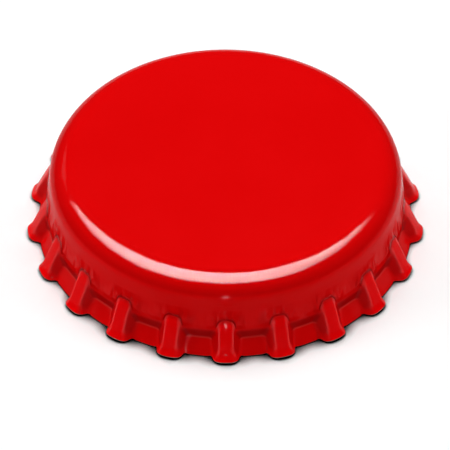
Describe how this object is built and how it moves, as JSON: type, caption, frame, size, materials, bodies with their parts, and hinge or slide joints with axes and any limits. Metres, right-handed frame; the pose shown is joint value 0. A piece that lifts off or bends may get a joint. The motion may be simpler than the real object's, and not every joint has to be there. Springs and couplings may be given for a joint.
{
  "type": "bottle cap",
  "caption": "Red pressed-metal crown cap for a bottle, with a fluted skirt that flares to its cut edge and a moulded seal inside.",
  "frame": {"origin": "on the cap's axis, in the plane of the cut edge that the cap stands on", "axes": "+Z along the cap's axis, out through the flat top panel; one flute points along -Y"},
  "size_m": [0.032, 0.0319, 0.0069],
  "materials": {
    "red_lacquer": "gloss lacquer on pressed tinplate",
    "seal_compound": "smooth moulded, slightly translucent"
  },
  "bodies": {
    "root": {"crown_shell": "red_lacquer", "seal_liner": "seal_compound"}
  },
  "joints": []
}
